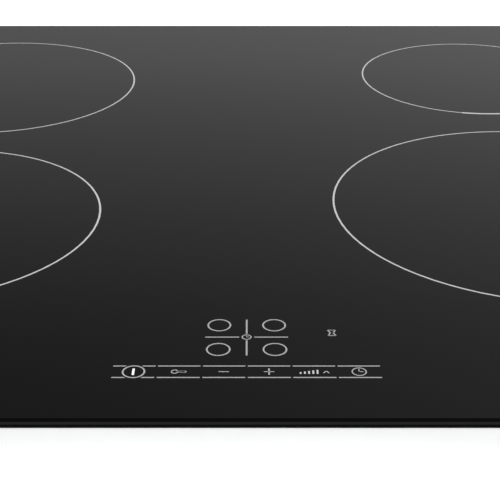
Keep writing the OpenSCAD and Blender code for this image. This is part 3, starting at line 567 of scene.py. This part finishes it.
def drawn_steel(slot, dark, light, rough, nodes_dressed, lines=(1, 1, 0.04)):
    """Bare or plated steel with fine lines of its drawing and faint stains."""
    steel = Finish(slot, metallic=1.0)
    drawn = steel.noise(0.0005, 2.0, where=steel.stretched(*lines))
    stain = steel.noise(0.008, 4.0, 0.6)
    steel.set("Base Color", steel.tone(stain, dark, light))
    steel.set("Roughness", rough + 0.16 * drawn + 0.08 * stain)
    steel.grain(drawn, 0.00002)
    return steel.on(*nodes_dressed)


def merged_copy(node, name):
    """A copy of a CAD node, open in edit mode, with its loose triangles joined and selected."""
    copied = bpy.data.objects.new(name, nodes[node].data.copy())
    bpy.context.collection.objects.link(copied)
    settle(copied, name)
    open_mesh()
    bpy.ops.mesh.select_all(action="SELECT")
    bpy.ops.mesh.remove_doubles(threshold=0.000002)
    return copied


drawn_steel("spring_steel", (0.42, 0.42, 0.43), (0.62, 0.62, 0.63), 0.22, each_zone("springs"))
drawn_steel("clamp_steel", (0.36, 0.36, 0.38), (0.58, 0.58, 0.60), 0.24, each_zone("clamp"))

for zone in zones:
    bows = merged_copy("springs_" + zone, "bow_springs_" + zone)
    bpy.ops.mesh.dissolve_limited(angle_limit=math.radians(1))
    close_mesh()
    broken_edge = bows.modifiers.new("broken_edge", "BEVEL")
    broken_edge.width = 0.00008
    broken_edge.segments = 2
    broken_edge.limit_method = "ANGLE"
    broken_edge.angle_limit = math.radians(50)
    bpy.ops.object.modifier_apply(modifier="broken_edge")
    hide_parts("springs_" + zone)
    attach(bows, "hob")
    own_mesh(bows)


# The screws and the hinge pin.
# Cold-headed, bright plated screws with a cross recess hold the boards from above and the
# coil plate through the housing's sides. The pin on which the flap swings is turned and plated.

head_height = 0.0018

plated = drawn_steel("bright_steel", (0.56, 0.56, 0.56), (0.72, 0.72, 0.72), 0.18,
                     ["flap_hinge_pin", "clamp_screws", "housing_screws"], (1, 1, 1))


def pick_faces(obj, facing):
    """Leaves obj open in edit mode with only the flat faces selected that face up (1) or down (-1)."""
    open_mesh()
    bpy.ops.mesh.select_mode(type="FACE")
    bpy.ops.mesh.select_all(action="DESELECT")
    close_mesh()
    for face in obj.data.polygons:
        face.select = face.normal.z * facing > 0.99
    open_mesh()


def cut_slot(screw, turn, length, width):
    """Cuts one slot of the cross recess into a screw's head, tapered towards its floor."""
    deselect()
    bpy.ops.mesh.primitive_cube_add(size=1, location=(0, 0, head_height), rotation=(0, 0, turn))
    blade = bpy.context.object
    blade.scale = (length, width, head_height * 1.2)
    settle(blade, "blade")
    pick_faces(blade, -1)
    bpy.ops.transform.resize(value=(0.5, 0.5, 1), center_override=(0, 0, head_height * 0.4))
    close_mesh()
    recess = screw.modifiers.new("recess", "BOOLEAN")
    recess.operation = "DIFFERENCE"
    recess.object = blade
    bpy.context.view_layer.objects.active = screw
    bpy.ops.object.modifier_apply(modifier="recess")
    bpy.data.objects.remove(blade)


def pan_head_screw(head_radius, shank_radius, shank_length):
    """A screw that points down, with the seat of its head at the origin."""
    deselect()
    bpy.ops.mesh.primitive_cylinder_add(vertices=32, radius=head_radius, depth=head_height,
                                        location=(0, 0, head_height / 2))
    screw = settle(bpy.context.object, "screw")
    pick_faces(screw, 1)
    bpy.ops.mesh.bevel(affect="EDGES", offset=head_height * 0.45, segments=4)
    close_mesh()
    pick_faces(screw, -1)
    bpy.ops.mesh.inset(thickness=head_radius - shank_radius)
    for length in (shank_length * 0.9, shank_length * 0.1):
        bpy.ops.mesh.extrude_region_move(TRANSFORM_OT_translate={"value": (0, 0, -length)})
    bpy.ops.transform.resize(value=(0.7, 0.7, 1), center_override=(0, 0, -shank_length))
    close_mesh()
    for turn in (0, math.pi / 2):
        cut_slot(screw, turn, head_radius * 1.15, head_radius * 0.26)
    return screw


def screw_boxes(node):
    """The lowest and highest corners of each screw in a CAD node."""
    merged_copy(node, "solids")
    bpy.ops.mesh.separate(type="LOOSE")
    close_mesh()
    boxes = []
    for solid in list(bpy.context.selected_objects):
        corners = [vertex.co for vertex in solid.data.vertices]
        boxes.append([[pick(corner[axis] for corner in corners) for axis in range(3)]
                      for pick in (min, max)])
        bpy.data.objects.remove(solid)
    return sorted(boxes)


side_screw = pan_head_screw(head_radius=0.003, shank_radius=0.0016, shank_length=0.004)
board_screw = pan_head_screw(head_radius=0.0028, shank_radius=0.0013, shank_length=0.0046)
side_screws_beyond = 0.26
first_turn, turn_step = 0.4, 1.3
screws_set = []
for low, high in screw_boxes("housing_screws"):
    x, y, z = [(a + b) / 2 for a, b in zip(low, high)]
    if abs(x) > side_screws_beyond:
        kind, side = side_screw, math.copysign(1, x)
        x = side * (max(abs(low[0]), abs(high[0])) - head_height)
    else:
        kind, side = board_screw, 0
        z = high[2] - head_height
    screw = bpy.data.objects.new("screw", kind.data.copy())
    bpy.context.collection.objects.link(screw)
    screw.location = (x, y, z)
    screw.rotation_mode = "ZYX"
    screw.rotation_euler = (0, side * math.pi / 2, first_turn + turn_step * len(screws_set))
    screws_set.append(screw)
for kind in (side_screw, board_screw):
    bpy.data.objects.remove(kind)
deselect()
for screw in screws_set:
    screw.select_set(True)
bpy.context.view_layer.objects.active = screws_set[0]
bpy.ops.object.join()
pan_heads = settle(bpy.context.object, "pan_head_screws")
bpy.ops.object.shade_smooth_by_angle(angle=math.radians(35))
pan_heads.data.materials.clear()
pan_heads.data.materials.append(plated.material)
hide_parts("housing_screws")
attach(pan_heads, "hob")


# The circuit boards.
# Glass-fibre boards under green solder mask, on standoffs in the housing. Copper tracks show
# through the mask as raised, lighter lines. Extruded heat sinks cool the power transistors.

def both_sides(kind):
    """The names of the left and the right CAD node of a kind."""
    return [kind + "_left", kind + "_right"]


# Radians per metre, which set the tracks 1.5 mm apart across the hob and 2.1 mm along it.
waves_across, waves_along = 2100, 1500

board = Finish("circuit_board", ior=1.5)
track_x = abs((board.place("X") * waves_across + 3 * board.noise(0.03, 0.0)).sine())
track_y = abs((board.place("Y") * waves_along + 3 * board.noise(0.045, 0.0)).sine())
region = board.noise(0.02, 0.0).step(0.48, 0.5)
tracks = (region * track_x + (1 - region) * track_y).step(0.55, 0.7)
pads = 1 - board.cells(0.0042).step(0.16, 0.2)
mask_tone = board.tone(tracks, (0.012, 0.085, 0.035), (0.035, 0.17, 0.075))
tin = (0.62, 0.62, 0.60)
board.set("Base Color", board.node("ShaderNodeMix", {"data_type": "RGBA"},
                                   {0: pads, 6: mask_tone, 7: tin}, out=2))
board.set("Metallic", pads * 0.9)
board.set("Roughness", 0.24 + 0.12 * board.noise(0.002) + 0.1 * pads)
board.grain(tracks * 0.5 + pads, 0.00004)
board.on(*both_sides("power_board"), "filter_board", "control_board")

drawn_aluminium("heatsink_aluminium", (0.55, 0.56, 0.58), (0.76, 0.77, 0.78), 0.32, (1, 0.02, 1),
                both_sides("heatsink"))
moulded("epoxy_package", (0.016, 0.016, 0.018), (0.045, 0.045, 0.048), 0.42, both_sides("transistors"))
moulded("capacitor_case", (0.68, 0.66, 0.60), (0.82, 0.80, 0.74), 0.22, both_sides("capacitors"),
        0.002, 0.00001)
moulded("yellow_case", (0.62, 0.46, 0.05), (0.80, 0.62, 0.10), 0.2, ["filter_capacitors"], 0.002, 0.00001)

enamelled = Finish("copper_winding", metallic=0.8)
turns = enamelled.noise(0.0008, 2.0)
enamelled.set("Base Color", enamelled.tone(turns, (0.34, 0.12, 0.04), (0.70, 0.34, 0.16)))
enamelled.set("Roughness", 0.2 + 0.2 * turns)
enamelled.grain(turns, 0.00005)
enamelled.on("filter_choke")


# The blowers.
# Black glass-filled scroll housings, each with a motor in a black steel cup and a wheel
# of thin forward-curved blades.

moulded("blower_plastic", (0.026, 0.026, 0.028), (0.060, 0.060, 0.064), 0.46, both_sides("blower_housing"))
moulded("fan_plastic", (0.055, 0.055, 0.060), (0.12, 0.12, 0.13), 0.38, both_sides("fan_wheel"))

motor_paint = Finish("motor_case", metallic=0.6)
stoved = motor_paint.noise(0.0012, 3.0)
motor_paint.set("Base Color", motor_paint.tone(stoved, (0.07, 0.07, 0.075), (0.17, 0.17, 0.18)))
motor_paint.set("Roughness", 0.34 + 0.16 * stoved)
motor_paint.grain(stoved, 0.00002)
motor_paint.on(*both_sides("fan_motor"))


# The controls and the mains connection.
# A dark moulded carrier holds the touch board with its foam pads and tinted displays. The mains
# box and block are pale polyamide, the flap over them is black, and the cable hole has a grommet.

moulded("carrier_plastic", (0.07, 0.07, 0.075), (0.14, 0.14, 0.15), 0.44, ["control_carrier"])
moulded("display_red", (0.16, 0.012, 0.012), (0.30, 0.03, 0.03), 0.1, ["displays"], 0.004, 0.000005)

touch_foam = Finish("touch_foam")
touch_pores = touch_foam.cells(0.0004)
touch_foam.set("Base Color", touch_foam.tone(touch_pores, (0.02, 0.02, 0.022), (0.07, 0.07, 0.07)))
touch_foam.set("Roughness", 0.8 + 0.1 * touch_foam.noise(0.002))
touch_foam.grain(touch_pores, 0.0001)
touch_foam.on("touch_pads")

moulded("terminal_plastic", (0.66, 0.66, 0.62), (0.80, 0.80, 0.77), 0.4, ["terminal_box", "terminal_block"])
moulded("flap_plastic", (0.026, 0.026, 0.028), (0.058, 0.058, 0.062), 0.42, ["terminal_flap"])
moulded("grommet_rubber", (0.014, 0.014, 0.015), (0.036, 0.036, 0.038), 0.55, ["cable_grommet"], 0.0009)
